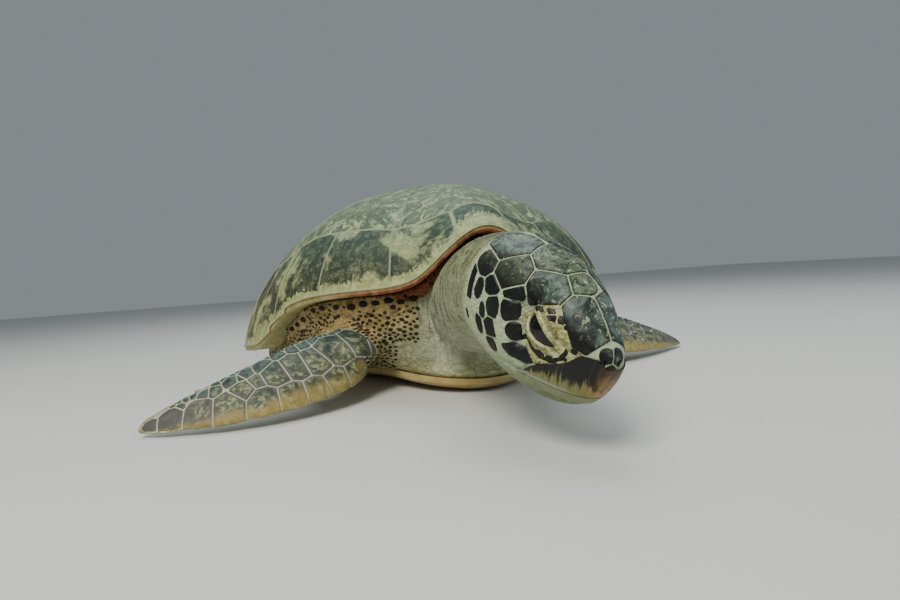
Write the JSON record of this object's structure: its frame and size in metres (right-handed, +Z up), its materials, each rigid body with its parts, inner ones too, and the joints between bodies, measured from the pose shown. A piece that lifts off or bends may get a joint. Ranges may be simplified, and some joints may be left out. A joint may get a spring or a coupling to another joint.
{
  "type": "green sea turtle",
  "caption": "Life-size green sea turtle at rest on the floor, head reaching forward and down, flippers spread, as a still museum model.",
  "frame": {"origin": "on the flat under the plastron, on the midline, below the widest part of the shell", "axes": "+Z up from the floor, the turtle faces -Y, its left side is +X"},
  "size_m": [0.9092, 1.3508, 0.3406],
  "materials": {
    "carapace_horn": "satin horn plates, mottled green and cream",
    "plastron_horn": "smooth cream horn",
    "skin": "soft wrinkled skin",
    "head_scales": "dark head scales edged in cream",
    "flipper_scales": "grey-olive scales edged in cream",
    "beak_horn": "fibrous dark brown horn",
    "lower_beak_horn": "olive horn",
    "eye": "wet, near-black"
  },
  "bodies": {
    "root": {"carapace": "carapace_horn", "plastron": "plastron_horn", "trunk": "skin", "neck": "skin", "head": "head_scales", "upper_beak": "beak_horn", "lower_beak": "lower_beak_horn", "lower_jaw": "head_scales", "eye_left": "eye", "eye_right": "eye", "front_upper_arm_left": "skin", "front_upper_arm_right": "skin", "front_flipper_left": "flipper_scales", "front_flipper_right": "flipper_scales", "hind_thigh_left": "skin", "hind_thigh_right": "skin", "hind_flipper_left": "flipper_scales", "hind_flipper_right": "flipper_scales", "tail": "skin"}
  },
  "joints": []
}
